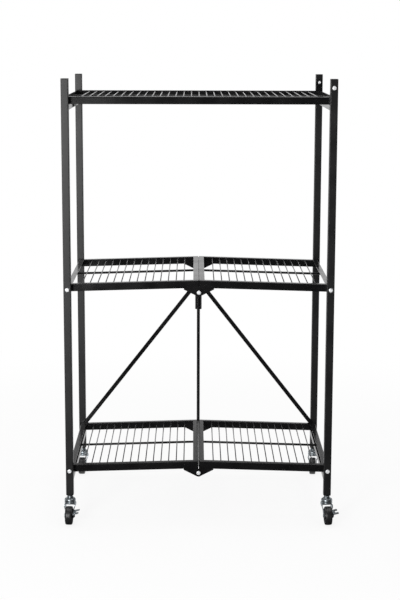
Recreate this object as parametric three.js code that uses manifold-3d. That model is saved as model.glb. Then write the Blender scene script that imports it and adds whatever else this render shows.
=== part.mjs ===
// A folding three-tier wire rack on four swivel casters.
// Millimetres, +Z up. The origin is on the floor, below the middle of the rack's box.
// +X runs to the right along the front and +Y from the front posts to the back posts.
// Two pairs of posts carry a rigid top shelf, hinged on the right pair, and two lower shelves
// that each break upwards at the middle, so that the two pairs of posts close up.

import * as THREE from 'three';
import { mergeVertices } from 'three/addons/utils/BufferGeometryUtils.js';
import Module from 'manifold-3d';

const wasm = await Module();
wasm.setup();

const degree = Math.PI / 180;

// Clearance between neighbouring pieces, and the depth by which welded pieces run together.
const gap = 0.3;
const weld = 0.6;

// Posts: square tubes, capped on top and plugged at the foot.
const postSpanX = 889;
const postSpanY = 584.2;
const rackHeight = 1524;
const postFoot = 99.5;
const tubeSide = 25.4;
const tubeWall = 1.5;
const tubeCorner = 2.5;
const capPlate = 2;
const capPlugDepth = 14;

// Cross bars: smaller square tubes that join a front post to the back post behind it.
const barSide = 19.05;
const barWall = 1.5;
const barCorner = 2;
const lowerBarDrop = 16.65;

// Shelf rails. The long ones are channels, open below, and the cross rails are plain angles: a leg outside
// and a flange on top, pointing inwards.
const railHeight = 25.4;
const railWidth = 19;
const sheet = 2;
const railBend = 3;

// Shelf levels, and the pins that the shelves turn on.
const topPivotDrop = 29.7;
const topHingeRise = 55.2;
const middlePivotHeight = 818.2;
const bottomPivotHeight = 184;
const pivotRise = 9.5;
const centrePinDrop = 16.5;
const camber = 1.65 * degree;
const foldSlit = 0.2;
const railPlay = 1.2;
const endRailReach = 3;
const topRailReach = 8;

// Gussets that carry the pins at the middle of the folding shelves.
const gussetHalf = 51;
const gussetStep = 4.5;
const gussetNose = 13.5;
const gussetLap = 10;

// Ears that lift the top shelf's hinge above its rails.
const earNose = 11.5;
const earFootReach = 13.6;

// Shelf wires and the rod welded below them.
const wireRadius = 1.9;
const wirePitch = 26.67;
const firstWireFromFold = 50;
const lastWireFromEnd = 45;
const midRodRadius = 4;
const midRodY = 0;

// Rivets and pins.
const pinRadius = 3;
const headRadius = 7;
const headHeight = 2.4;
const tailRadius = 5;
const tailHeight = 2;

// Link rod, the sleeve that slides on it, and the two braces.
const linkRodRadius = 6;
const linkRodEnd = 12;
const sleeveRadius = 12.5;
const sleeveDrop = 48.7;
const sleeveHeight = 115;
const earPinX = 12;
const earPinDrop = 18.4;
const earRadius = 9;
const earSheet = 2.5;
const braceSheet = 3;
const braceHalfWidth = 7.5;
const bracePlay = 0.8;
const braceHeadRadius = 6;
const braceHeadHeight = 1.6;

// Latch plate on the left top cross bar.
const latchFront = -123;
const latchLength = 104;
const latchHeight = 14;
const latchThickness = 3.5;

// Casters.
const wheelRadius = 32;
const treadWidth = 22;
const treadRound = 3;
const hubRadius = 10;
const rimRadius = 23;
const webRecess = 4;
const trail = 30;
const axleRadius = 4;
const axleHeadRadius = 6.5;
const axleHeadHeight = 2;
const hubClearWidth = 25;
const forkSheet = 2.2;
const forkEndRadius = 10.5;
const crownRadius = 19.5;
const kneeHeight = 49;
const shoulderHeight = 60;
const archHeight = 66.5;
const crownFoot = 68.5;
const crownEdge = 82;
const crownTop = 94.8;
const crownNeck = 9;
const stemRadius = 5;
const stemTop = 130;
const socketTop = 138;
const socketTaper = 17;
const brakeSheet = 2.5;
const pedalSheet = 3.4;
const pedalReach = 19;
const pedalRise = 4;
const pedalLength = 11;
const pedalOffset = 22;
const pedalHeight = 12.5;
const pedalWebReach = 9;
const leftFrontSwivel = -3 * degree;
const leftBackSwivel = -3.5 * degree;
const rightFrontSwivel = 4.5 * degree;
const rightBackSwivel = -7 * degree;

// Sides of the faceted round pieces.
const pinSides = 12;
const wireSides = 6;
const midRodSides = 8;
const wheelSides = 24;
const turnedSides = 16;

// Places worked out from the sizes above.
const postX = postSpanX / 2;
const postY = postSpanY / 2;
const postOuterY = postY + tubeSide / 2;
const postInnerY = postY - tubeSide / 2;
const postTop = rackHeight - capPlate - gap;
const pinBelow = pivotRise + centrePinDrop;
const halfReach = (postX - pinBelow * Math.sin(camber)) / Math.cos(camber);
const frontFace = -(postInnerY - railPlay);
const topBackFace = postInnerY - railPlay;
const braceBack = postInnerY - bracePlay;
const braceFront = braceBack - braceSheet;
const halfBackFace = braceFront - bracePlay;
const topPivotHeight = rackHeight - topPivotDrop;
const topRailFoot = topPivotHeight - topHingeRise;
const barCentreX = postX - tubeSide / 2 + barSide / 2;
const upperBarFoot = topRailFoot - gap - barSide;
const lowerBarFoot = bottomPivotHeight - lowerBarDrop - barSide;
const holeRadius = pinRadius + gap;

const finishes = {
  blackPaint: { color: 0x1d1d1e, roughness: 0.42, metalness: 0.3 },
  blackWire: { color: 0x2a2a2c, roughness: 0.38, metalness: 0.3 },
  blackPlastic: { color: 0x161617, roughness: 0.6, metalness: 0 },
  zinc: { color: 0xb9bec2, roughness: 0.35, metalness: 0.9 },
  tyre: { color: 0x242424, roughness: 0.7, metalness: 0 },
};

const axisX = new THREE.Vector3(1, 0, 0);
const axisY = new THREE.Vector3(0, 1, 0);
const axisZ = new THREE.Vector3(0, 0, 1);

// Turns a closed mesh's faces over if they point inwards.
function facingOut(positions, indices) {
  let volume = 0;
  const corner = (index) => new THREE.Vector3().fromArray(positions, indices[index] * 3);
  for (let index = 0; index < indices.length; index += 3) {
    volume += corner(index).dot(corner(index + 1).cross(corner(index + 2)));
  }
  if (volume > 0) {
    return indices;
  }
  return indices.map((vertex, index) => indices[index % 3 === 0 ? index : index + 3 - 2 * (index % 3)]);
}

// A three.js geometry as a solid, with its shared vertices merged and its collapsed triangles left out.
function solidOf(geometry) {
  const bare = new THREE.BufferGeometry();
  bare.setAttribute('position', geometry.getAttribute('position'));
  bare.setIndex(geometry.getIndex());
  const merged = mergeVertices(bare, 1e-4);
  const positions = merged.getAttribute('position').array;
  const all = Array.from(merged.getIndex().array);
  const kept = [];
  for (let index = 0; index < all.length; index += 3) {
    const [a, b, c] = all.slice(index, index + 3);
    if (a !== b && b !== c && c !== a) {
      kept.push(a, b, c);
    }
  }
  return new wasm.Manifold(new wasm.Mesh({
    numProp: 3,
    vertProperties: Float32Array.from(positions),
    triVerts: Uint32Array.from(facingOut(positions, kept)),
  }));
}

function geometryOf(solid) {
  const mesh = solid.getMesh();
  const geometry = new THREE.BufferGeometry();
  geometry.setAttribute('position', new THREE.BufferAttribute(Float32Array.from(mesh.vertProperties), 3));
  geometry.setIndex(Array.from(mesh.triVerts));
  geometry.computeVertexNormals();
  return geometry;
}

// A solid turned over left to right.
function mirroredX(solid) {
  return solidOf(geometryOf(solid).scale(-1, 1, 1));
}

function joined(solids) {
  return solids.reduce((whole, solid) => whole.add(solid));
}

function cutBy(solid, cutters) {
  return cutters.reduce((rest, cutter) => rest.subtract(cutter), solid);
}

function block(x0, x1, y0, y1, z0, z1) {
  const geometry = new THREE.BoxGeometry(Math.abs(x1 - x0), Math.abs(y1 - y0), Math.abs(z1 - z0));
  return solidOf(geometry.translate((x0 + x1) / 2, (y0 + y1) / 2, (z0 + z1) / 2));
}

function pushed(shape, length, curveSegments) {
  return new THREE.ExtrudeGeometry(shape, { depth: length, bevelEnabled: false, curveSegments });
}

// A shape drawn in y and z, pushed from one x to another.
function alongX(shape, x0, x1, curveSegments = 2) {
  const geometry = pushed(shape, Math.abs(x1 - x0), curveSegments);
  geometry.applyMatrix4(new THREE.Matrix4().makeBasis(axisY, axisZ, axisX));
  return solidOf(geometry.translate(Math.min(x0, x1), 0, 0));
}

// A shape drawn in x and z, pushed from one y to another.
function alongY(shape, y0, y1, curveSegments = 2) {
  const geometry = pushed(shape, Math.abs(y1 - y0), curveSegments).rotateX(Math.PI / 2);
  return solidOf(geometry.translate(0, Math.max(y0, y1), 0));
}

// A shape drawn in x and y, pushed from one z to another.
function alongZ(shape, z0, z1, curveSegments = 2) {
  return solidOf(pushed(shape, Math.abs(z1 - z0), curveSegments).translate(0, 0, Math.min(z0, z1)));
}

function cylinderX(radius, x0, x1, y, z, sides = pinSides) {
  const geometry = new THREE.CylinderGeometry(radius, radius, Math.abs(x1 - x0), sides);
  return solidOf(geometry.rotateZ(Math.PI / 2).translate((x0 + x1) / 2, y, z));
}

function cylinderY(radius, y0, y1, x, z, sides = pinSides) {
  const geometry = new THREE.CylinderGeometry(radius, radius, Math.abs(y1 - y0), sides);
  return solidOf(geometry.translate(x, (y0 + y1) / 2, z));
}

function cylinderZ(radius, z0, z1, x, y, sides = pinSides) {
  const geometry = new THREE.CylinderGeometry(radius, radius, Math.abs(z1 - z0), sides);
  return solidOf(geometry.rotateX(Math.PI / 2).translate(x, y, (z0 + z1) / 2));
}

// A profile of radius and height, turned about the y axis.
function turned(profile, sides) {
  return new THREE.LatheGeometry(profile.map(([radius, along]) => new THREE.Vector2(radius, along)), sides);
}

function shapeOf(points) {
  return new THREE.Shape(points.map(([across, up]) => new THREE.Vector2(across, up)));
}

function roundedSquare(side, corner, Kind = THREE.Shape) {
  const half = side / 2;
  const inner = half - corner;
  const outline = new Kind();
  outline.moveTo(half, -inner);
  outline.absarc(inner, inner, corner, 0, Math.PI / 2, false);
  outline.absarc(-inner, inner, corner, Math.PI / 2, Math.PI, false);
  outline.absarc(-inner, -inner, corner, Math.PI, 1.5 * Math.PI, false);
  outline.absarc(inner, -inner, corner, 1.5 * Math.PI, 2 * Math.PI, false);
  return outline;
}

function squareTube(side, wall, corner) {
  const section = roundedSquare(side, corner);
  section.holes.push(roundedSquare(side - 2 * wall, corner - wall, THREE.Path));
  return section;
}

const rack = new THREE.Group();

function groupAt(parent, x, y, z) {
  const group = new THREE.Group();
  group.position.set(x, y, z);
  parent.add(group);
  return group;
}

function addPart(parent, name, solid, finish) {
  const mesh = new THREE.Mesh(geometryOf(solid), new THREE.MeshStandardMaterial(finishes[finish]));
  mesh.name = name;
  parent.add(mesh);
}

// A rivet along y with a domed head outside the one face and a flat tail inside the other.
function rivet(headFace, tailFace) {
  const inward = Math.sign(tailFace - headFace);
  const headFoot = headFace - inward * gap;
  const tailFoot = tailFace + inward * gap;
  const profile = [
    [0, headFoot - inward * headHeight],
    [headRadius * 0.55, headFoot - inward * headHeight * 0.85],
    [headRadius * 0.85, headFoot - inward * headHeight * 0.5],
    [headRadius, headFoot],
    [pinRadius, headFoot],
    [pinRadius, tailFoot],
    [tailRadius, tailFoot],
    [tailRadius * 0.8, tailFoot + inward * tailHeight],
    [0, tailFoot + inward * tailHeight],
  ];
  return solidOf(turned(profile, pinSides));
}

// The angle section of a rail. The leg's outer face is at 0 across and its lower edge at 0 up.
function angleSection(toPlane) {
  const bendSteps = 3;
  const points = [[0, 0]];
  for (let step = 0; step <= bendSteps; step += 1) {
    const turn = (Math.PI / 2) * (step / bendSteps);
    points.push([railBend * (1 - Math.cos(turn)), railHeight - railBend * (1 - Math.sin(turn))]);
  }
  points.push([railWidth, railHeight], [railWidth, railHeight - sheet]);
  points.push([sheet, railHeight - sheet], [sheet, 0]);
  return shapeOf(points.map(([across, up]) => toPlane(across, up)));
}

// A channel along x, open below and trimmed to its side view: the angle with a second leg at its inner edge.
function railAlongX(outerFace, outline, x0, x1) {
  const inward = -Math.sign(outerFace);
  const depth = (inset) => outerFace + inward * inset;
  const angle = alongX(angleSection((across, up) => [depth(across), up]), x0, x1);
  const innerLeg = block(x0, x1, depth(railWidth - sheet), depth(railWidth), 0, railHeight - sheet + weld);
  return angle.add(innerLeg).intersect(alongY(outline, depth(-1), depth(railWidth + 1), 4));
}

// A folding shelf's half runs from its post pivot at x = 0 to the fold at x = halfReach.
// Its height counts from the lower edge of its rails.
function halfRailOutline() {
  const outline = new THREE.Shape();
  outline.moveTo(halfReach - foldSlit, 0);
  outline.lineTo(halfReach - foldSlit, railHeight);
  outline.lineTo(-pivotRise, railHeight);
  outline.lineTo(-pivotRise, pivotRise);
  outline.absarc(0, pivotRise, pivotRise, Math.PI, 1.5 * Math.PI, false);
  return outline;
}

// The gusset's outline: a low step below the rail, then a slope to a nose that is round about the centre pin.
function gussetOutline() {
  const drop = centrePinDrop - gussetStep;
  const slope = Math.atan2(-drop, gussetHalf);
  const spread = Math.asin(gussetNose / Math.hypot(gussetHalf, drop));
  const outline = new THREE.Shape();
  outline.moveTo(halfReach - gussetHalf, gussetLap);
  outline.lineTo(halfReach - gussetHalf, -gussetStep);
  outline.absarc(halfReach, -centrePinDrop, gussetNose, slope - spread - Math.PI / 2, Math.PI / 2, false);
  outline.lineTo(halfReach - foldSlit, -centrePinDrop + gussetNose);
  outline.lineTo(halfReach - foldSlit, gussetLap);
  return outline;
}

// The left half's gusset lies in the plane of the rail's leg, and the right half's behind it.
function halfRail(outerFace, gussetInset) {
  const inward = -Math.sign(outerFace);
  const depth = (inset) => outerFace + inward * inset;
  const rail = railAlongX(outerFace, halfRailOutline(), -pivotRise, halfReach - foldSlit);
  const gusset = alongY(gussetOutline(), depth(gussetInset), depth(gussetInset + sheet), 6);
  const pieces = [rail, gusset];
  if (gussetInset > 0) {
    const seamFoot = halfReach - gussetHalf;
    const seamEnd = halfReach - foldSlit;
    pieces.push(block(seamFoot, seamEnd, depth(sheet - weld), depth(gussetInset + weld), weld, gussetLap));
  }
  return cutBy(joined(pieces), [
    cylinderY(holeRadius, depth(-1), depth(gussetInset + sheet + 1), 0, pivotRise),
    cylinderY(holeRadius, depth(-1), depth(gussetInset + sheet + 1), halfReach, -centrePinDrop),
  ]);
}

// A cross rail between the inner legs of two long rails.
function crossRail(outerX, inward, front, back) {
  const section = angleSection((across, up) => [outerX + inward * across, up]);
  return alongY(section, front + railWidth + gap, back - railWidth - gap);
}

// The wires of a shelf from inner leg to inner leg, the rod below them and the two cross rails it ends in.
function shelfDeck(lowX, highX, wirePlaces, front, back) {
  const wireHeight = railHeight - sheet - gap - wireRadius;
  const rodHeight = wireHeight - wireRadius - midRodRadius + weld;
  const rodFrom = lowX + sheet - weld;
  const rodTo = highX - sheet + weld;
  const rod = cylinderX(midRodRadius, rodFrom, rodTo, midRodY, rodHeight, midRodSides);
  const wires = wirePlaces.map((x) => (
    cylinderY(wireRadius, front + railWidth + gap, back - railWidth - gap, x, wireHeight, wireSides)
  ));
  return joined([rod, ...wires, crossRail(lowX, 1, front, back), crossRail(highX, -1, front, back)]);
}

// The four corners of the rack.
const corners = [
  { name: 'left_front', side: -1, depth: -1, braked: true, swivel: leftFrontSwivel },
  { name: 'left_back', side: -1, depth: 1, braked: false, swivel: leftBackSwivel },
  { name: 'right_front', side: 1, depth: -1, braked: true, swivel: rightFrontSwivel },
  { name: 'right_back', side: 1, depth: 1, braked: false, swivel: rightBackSwivel },
];

function post(isRight) {
  const heights = [bottomPivotHeight, middlePivotHeight];
  if (isRight) {
    heights.push(topPivotHeight);
  }
  const tube = alongZ(squareTube(tubeSide, tubeWall, tubeCorner), postFoot, postTop);
  return cutBy(tube, heights.map((height) => cylinderY(holeRadius, -tubeSide, tubeSide, 0, height)));
}

function postCap() {
  const plugSide = tubeSide - 2 * (tubeWall + gap);
  const plate = alongZ(roundedSquare(tubeSide, tubeCorner), rackHeight - capPlate, rackHeight);
  const plug = alongZ(roundedSquare(plugSide, tubeWall), rackHeight - capPlugDepth, rackHeight - capPlate + weld);
  return plate.add(plug);
}

// A square taper, as a four-sided cone with its faces along x and y.
function squareTaper(lowSide, highSide, z0, z1) {
  const toCorner = Math.SQRT1_2;
  const geometry = new THREE.CylinderGeometry(highSide * toCorner, lowSide * toCorner, z1 - z0, 4);
  return solidOf(geometry.rotateY(Math.PI / 4).rotateX(Math.PI / 2).translate(0, 0, (z0 + z1) / 2));
}

function casterSocket() {
  const plugSide = tubeSide - 2 * (tubeWall + gap);
  const lip = postFoot - gap;
  const foot = crownTop + gap;
  const body = joined([
    squareTaper(socketTaper, tubeSide, foot, lip),
    alongZ(roundedSquare(plugSide, tubeWall), lip - weld, socketTop),
  ]);
  return body.subtract(cylinderZ(stemRadius + gap, foot - 1, socketTop + 1, 0, 0));
}

// The fork is a bent strip: its front view, cut to its side view, under a turned crown and stem.
function casterFork(braked) {
  const legInner = hubClearWidth / 2;
  const legOuter = legInner + forkSheet;
  const legFoot = wheelRadius - forkEndRadius;
  const shoulder = crownRadius - forkSheet;
  const frontView = shapeOf([
    [-legOuter, legFoot - 1], [-legInner, legFoot - 1], [-legInner, kneeHeight], [-shoulder, shoulderHeight],
    [-shoulder, archHeight - forkSheet], [-shoulder + forkSheet, archHeight],
    [shoulder - forkSheet, archHeight], [shoulder, archHeight - forkSheet],
    [shoulder, shoulderHeight], [legInner, kneeHeight], [legInner, legFoot - 1], [legOuter, legFoot - 1],
    [legOuter, kneeHeight], [crownRadius, shoulderHeight], [crownRadius, crownFoot + weld],
    [-crownRadius, crownFoot + weld], [-crownRadius, shoulderHeight], [-legOuter, kneeHeight],
  ]);
  const sideView = new THREE.Shape();
  sideView.moveTo(crownRadius - forkSheet, crownFoot + weld);
  sideView.lineTo(-crownRadius + forkSheet, crownFoot + weld);
  sideView.lineTo(-crownRadius + forkSheet, archHeight - forkSheet);
  sideView.absarc(-trail, wheelRadius, forkEndRadius, Math.PI, 2 * Math.PI, false);
  sideView.lineTo(crownRadius - forkSheet + 1, archHeight - forkSheet);
  const yoke = alongY(frontView, -trail - crownRadius, crownRadius + 1)
    .intersect(alongX(sideView, -crownRadius - 1, crownRadius + 1, 4));
  const crown = solidOf(turned([
    [0, crownFoot], [crownRadius, crownFoot], [crownRadius, crownEdge], [crownRadius - 4, crownEdge + 3.5],
    [crownNeck + 1, crownTop - 3], [crownNeck, crownTop], [stemRadius, crownTop], [stemRadius, stemTop],
    [0, stemTop],
  ], turnedSides).rotateX(Math.PI / 2));
  const rightFace = legOuter + (braked ? gap + brakeSheet : 0);
  const leftHead = legOuter + axleHeadHeight;
  const rightHead = rightFace + gap + axleHeadHeight;
  return joined([
    yoke,
    crown,
    cylinderX(axleRadius, -legOuter, rightHead, -trail, wheelRadius),
    cylinderX(axleHeadRadius, -leftHead, -legOuter + weld, -trail, wheelRadius, 6),
    cylinderX(axleHeadRadius, rightFace + gap, rightHead, -trail, wheelRadius, 6),
    ...(braked ? [] : [cylinderX(axleHeadRadius, legOuter - weld, rightFace + weld, -trail, wheelRadius, 6)]),
  ]);
}

// A wheel that rests on the flat of a facet, turned about its axle at the group's origin.
function casterWheel() {
  const hubHalf = hubClearWidth / 2 - gap;
  const treadHalf = treadWidth / 2;
  const webHalf = treadHalf - webRecess;
  const treadCorner = wheelRadius / Math.cos(Math.PI / wheelSides);
  const bore = axleRadius + gap;
  const half = [
    [bore, hubHalf], [hubRadius, hubHalf], [hubRadius + 1, webHalf], [rimRadius, webHalf],
    [rimRadius + 1, treadHalf], [treadCorner - treadRound, treadHalf], [treadCorner, treadHalf - treadRound],
  ];
  const ring = [...half, ...half.map(([radius, along]) => [radius, -along]).reverse(), half[0]];
  const geometry = turned(ring, wheelSides).rotateY(Math.PI / wheelSides).rotateZ(Math.PI / 2);
  return solidOf(geometry);
}

// A rocker that turns on the axle's end, with a pedal in front and a pedal behind, joined by a web.
// Its origin is on the axle, at the middle of the wheel.
function casterBrake() {
  const innerFace = hubClearWidth / 2 + forkSheet + gap;
  const outerFace = innerFace + brakeSheet;
  const pedalFoot = pedalHeight - pedalSheet;
  const boss = axleRadius + gap + 2;
  const plate = alongX(shapeOf([
    [-pedalOffset, pedalHeight], [-pedalOffset, pedalFoot], [-boss, -boss], [boss, -boss],
    [pedalOffset, pedalFoot], [pedalOffset, pedalHeight], [boss, boss + 1], [-boss, boss + 1],
  ]), innerFace, outerFace);
  const tip = innerFace + pedalReach;
  const pedalShape = shapeOf([
    [innerFace, pedalFoot], [tip, pedalFoot + pedalRise],
    [tip, pedalHeight + pedalRise], [innerFace, pedalHeight],
  ]);
  const webRise = (pedalRise * pedalWebReach) / pedalReach;
  const webTip = innerFace + pedalWebReach;
  const webShape = shapeOf([
    [innerFace, pedalFoot], [webTip, pedalFoot + webRise],
    [webTip, pedalHeight + webRise], [innerFace, pedalHeight],
  ]);
  const webHalf = pedalOffset - pedalLength + weld;
  const arms = [
    alongY(pedalShape, -pedalOffset, -pedalOffset + pedalLength),
    alongY(pedalShape, pedalOffset - pedalLength, pedalOffset),
    alongY(webShape, -webHalf, webHalf),
  ];
  const bore = cylinderX(axleRadius + gap, innerFace - 1, outerFace + 1, 0, 0);
  return joined([plate, ...arms]).subtract(bore);
}

function addCaster(corner) {
  const caster = groupAt(rack, corner.side * postX, corner.depth * postY, 0);
  addPart(caster, `${corner.name}_caster_socket`, casterSocket(), 'blackPlastic');
  const swivel = groupAt(caster, 0, 0, 0);
  swivel.rotation.z = corner.swivel;
  addPart(swivel, `${corner.name}_caster_fork`, casterFork(corner.braked), 'zinc');
  const axle = groupAt(swivel, 0, -trail, wheelRadius);
  addPart(axle, `${corner.name}_caster_wheel`, casterWheel(), 'tyre');
  if (corner.braked) {
    addPart(axle, `${corner.name}_caster_brake`, casterBrake(), 'zinc');
  }
}

// The face of a folding shelf's rail on the given side of the rack, and that of the top shelf's rail.
const halfFace = (depth) => (depth < 0 ? frontFace : halfBackFace);
const topFace = (depth) => (depth < 0 ? frontFace : topBackFace);

function addPivots(corner) {
  const headFace = corner.depth * postOuterY;
  const tailFace = (outerFace) => outerFace - corner.depth * sheet;
  const x = corner.side * postX;
  const shelfRivet = rivet(headFace, tailFace(halfFace(corner.depth)));
  addPart(groupAt(rack, x, 0, middlePivotHeight), `${corner.name}_middle_pivot`, shelfRivet, 'zinc');
  addPart(groupAt(rack, x, 0, bottomPivotHeight), `${corner.name}_bottom_pivot`, shelfRivet, 'zinc');
  if (corner.side > 0) {
    const name = corner.depth < 0 ? 'top_shelf_front_pivot' : 'top_shelf_back_pivot';
    const topRivet = rivet(headFace, tailFace(topFace(corner.depth)));
    addPart(groupAt(rack, x, 0, topPivotHeight), name, topRivet, 'zinc');
  }
}

for (const corner of corners) {
  const upright = groupAt(rack, corner.side * postX, corner.depth * postY, 0);
  addPart(upright, `${corner.name}_post`, post(corner.side > 0), 'blackPaint');
  addPart(upright, `${corner.name}_post_cap`, postCap(), 'blackPlastic');
  addCaster(corner);
  addPivots(corner);
}

// The cross bars and the latch plate.
const barSection = squareTube(barSide, barWall, barCorner);
const crossBar = alongY(barSection, -postInnerY + gap, postInnerY - gap);
for (const [sideName, side] of [['left', -1], ['right', 1]]) {
  const top = groupAt(rack, side * barCentreX, 0, upperBarFoot + barSide / 2);
  addPart(top, `${sideName}_top_crossbar`, crossBar, 'blackPaint');
  const bottom = groupAt(rack, side * barCentreX, 0, lowerBarFoot + barSide / 2);
  addPart(bottom, `${sideName}_bottom_crossbar`, crossBar, 'blackPaint');
}

const latchX = -(barCentreX - barSide / 2) + gap;
const latchTop = upperBarFoot + barSide - barCorner;
const latchPlate = block(latchX, latchX + latchThickness, latchFront, latchFront + latchLength,
  latchTop - latchHeight, latchTop);
addPart(rack, 'top_shelf_latch_plate', latchPlate, 'blackPlastic');

// The top shelf. Its height counts from the lower edge of its rails.
function topRail(outerFace) {
  const inward = -Math.sign(outerFace);
  const end = postX + topRailReach;
  const outline = new THREE.Shape();
  outline.moveTo(end, railHeight);
  outline.lineTo(-end, railHeight);
  outline.absarc(-end + topRailReach, topRailReach, topRailReach, Math.PI, 1.5 * Math.PI, false);
  outline.absarc(end - topRailReach, topRailReach, topRailReach, 1.5 * Math.PI, 2 * Math.PI, false);
  const rail = railAlongX(outerFace, outline, -end, end);
  const earShape = new THREE.Shape();
  earShape.moveTo(postX - earFootReach, railHeight / 2);
  earShape.lineTo(end, railHeight / 2);
  earShape.absarc(postX, topHingeRise, earNose, 0, Math.PI, false);
  const ear = alongY(earShape, outerFace, outerFace + inward * sheet, 4);
  const hole = cylinderY(holeRadius, outerFace - inward, outerFace + inward * (sheet + 1), postX, topHingeRise);
  return rail.add(ear).subtract(hole);
}

const topShelf = groupAt(rack, 0, 0, topRailFoot);
const topEnd = postX + endRailReach;
const topWireGaps = Math.floor((2 * (topEnd - lastWireFromEnd)) / wirePitch);
const topWires = Array.from({ length: topWireGaps + 1 }, (_, index) => (
  (index - topWireGaps / 2) * wirePitch
));
addPart(topShelf, 'top_shelf_front_rail', topRail(frontFace), 'blackPaint');
addPart(topShelf, 'top_shelf_back_rail', topRail(topBackFace), 'blackPaint');
addPart(topShelf, 'top_shelf_deck', shelfDeck(-topEnd, topEnd, topWires, frontFace, topBackFace), 'blackWire');

// The two folding shelves, each of a left and a right half.
const insetGusset = sheet + gap;
const halfWireGaps = Math.floor((halfReach + endRailReach - firstWireFromFold - lastWireFromEnd) / wirePitch);
const halfWires = Array.from({ length: halfWireGaps + 1 }, (_, index) => (
  halfReach - firstWireFromFold - index * wirePitch
));
const halfDeck = shelfDeck(-endRailReach, halfReach - foldSlit, halfWires, frontFace, halfBackFace);

const centrePinHeight = (pivotHeight) => (
  pivotHeight + halfReach * Math.sin(camber) - pinBelow * Math.cos(camber)
);

function addFoldingShelf(level, pivotHeight) {
  for (const [sideName, side] of [['left', -1], ['right', 1]]) {
    const pivot = groupAt(rack, side * postX, 0, pivotHeight);
    pivot.rotation.y = side * camber;
    const half = groupAt(pivot, 0, 0, -pivotRise);
    const toSide = (solid) => (side < 0 ? solid : mirroredX(solid));
    const inset = side < 0 ? 0 : insetGusset;
    const name = `${level}_${sideName}`;
    addPart(half, `${name}_front_rail`, toSide(halfRail(frontFace, inset)), 'blackPaint');
    addPart(half, `${name}_back_rail`, toSide(halfRail(halfBackFace, inset)), 'blackPaint');
    addPart(half, `${name}_deck`, toSide(halfDeck), 'blackWire');
  }
  const pin = groupAt(rack, 0, 0, centrePinHeight(pivotHeight));
  const stack = insetGusset + sheet;
  addPart(pin, `${level}_front_centre_pin`, rivet(frontFace, frontFace + stack), 'zinc');
  addPart(pin, `${level}_back_centre_pin`, rivet(halfBackFace - stack, postY + linkRodRadius), 'zinc');
}

addFoldingShelf('middle', middlePivotHeight);
addFoldingShelf('bottom', bottomPivotHeight);

// The link rod hangs between the two back centre pins, and the sleeve slides on it.
const lowerPin = centrePinHeight(bottomPivotHeight);
const upperPin = centrePinHeight(middlePivotHeight);
const linkRod = cutBy(
  cylinderZ(linkRodRadius, lowerPin - linkRodEnd, upperPin + linkRodEnd, 0, postY),
  [lowerPin, upperPin].map((height) => (
    cylinderY(holeRadius, postY - 2 * linkRodRadius, postY + 2 * linkRodRadius, 0, height)
  )),
);
addPart(rack, 'link_rod', linkRod, 'blackPaint');

// The sleeve hangs below the upper pin, and its ears' pins below its own top.
const sleeveTop = upperPin - sleeveDrop;
const sleeveFoot = sleeveTop - sleeveHeight;
const earPinHeight = sleeveTop - earPinDrop;

function braceSleeve() {
  const earBack = braceBack + gap + earSheet;
  const earPlate = new THREE.Shape();
  earPlate.absarc(earPinX, earPinHeight, earRadius, -Math.PI / 2, Math.PI / 2, false);
  earPlate.absarc(-earPinX, earPinHeight, earRadius, Math.PI / 2, 1.5 * Math.PI, false);
  return joined([
    cylinderZ(sleeveRadius, sleeveFoot, sleeveTop, 0, postY, turnedSides),
    alongY(earPlate, earBack - earSheet, earBack, 4),
  ]).subtract(cylinderZ(linkRodRadius + gap, sleeveFoot - 1, sleeveTop + 1, 0, postY));
}

addPart(rack, 'brace_sleeve', braceSleeve(), 'blackPaint');

// A brace runs from the pivot of the bottom shelf on a back post to its ear on the sleeve.
const braceRun = postX - earPinX;
const braceClimb = earPinHeight - bottomPivotHeight;
const braceLength = Math.hypot(braceRun, braceClimb);
const braceLean = Math.atan2(braceClimb, braceRun);

function brace() {
  const bar = new THREE.Shape();
  bar.absarc(0, 0, braceHalfWidth, Math.PI / 2, 1.5 * Math.PI, false);
  bar.absarc(braceLength, 0, braceHalfWidth, -Math.PI / 2, Math.PI / 2, false);
  const head = cylinderY(braceHeadRadius, braceFront - braceHeadHeight, braceFront + weld, braceLength, 0);
  return alongY(bar, braceFront, braceBack, 4)
    .add(head)
    .subtract(cylinderY(holeRadius, braceFront - 1, braceBack + 1, 0, 0));
}

for (const [sideName, side] of [['left', -1], ['right', 1]]) {
  const pivot = groupAt(rack, side * postX, 0, bottomPivotHeight);
  pivot.rotation.y = side * braceLean;
  addPart(pivot, `${sideName}_brace`, side < 0 ? brace() : mirroredX(brace()), 'blackPaint');
}

// The pieces above count from the point midway between the four posts, and the casters reach further
// to the right and to the front, so the rack is moved to bring the origin below the middle of its box.
const middle = new THREE.Box3().setFromObject(rack, true).getCenter(new THREE.Vector3());
rack.position.set(-middle.x, -middle.y, 0);

export default rack;
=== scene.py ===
import math

import bmesh
import bpy
from mathutils import Matrix, Vector


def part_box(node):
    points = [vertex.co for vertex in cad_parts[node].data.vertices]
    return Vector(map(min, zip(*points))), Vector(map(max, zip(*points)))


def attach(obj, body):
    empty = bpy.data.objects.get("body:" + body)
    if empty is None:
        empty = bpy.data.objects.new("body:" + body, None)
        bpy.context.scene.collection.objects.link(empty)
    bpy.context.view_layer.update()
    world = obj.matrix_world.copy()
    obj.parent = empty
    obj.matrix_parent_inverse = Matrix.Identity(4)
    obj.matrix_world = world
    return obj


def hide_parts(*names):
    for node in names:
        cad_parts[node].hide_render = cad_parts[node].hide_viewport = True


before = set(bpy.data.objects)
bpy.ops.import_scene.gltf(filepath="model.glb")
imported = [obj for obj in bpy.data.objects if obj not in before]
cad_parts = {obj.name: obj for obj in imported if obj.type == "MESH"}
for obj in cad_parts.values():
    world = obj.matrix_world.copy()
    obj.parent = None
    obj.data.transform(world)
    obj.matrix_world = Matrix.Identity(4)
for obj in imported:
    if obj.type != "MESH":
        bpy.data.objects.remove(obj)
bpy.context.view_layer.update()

mm = 0.001
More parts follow.
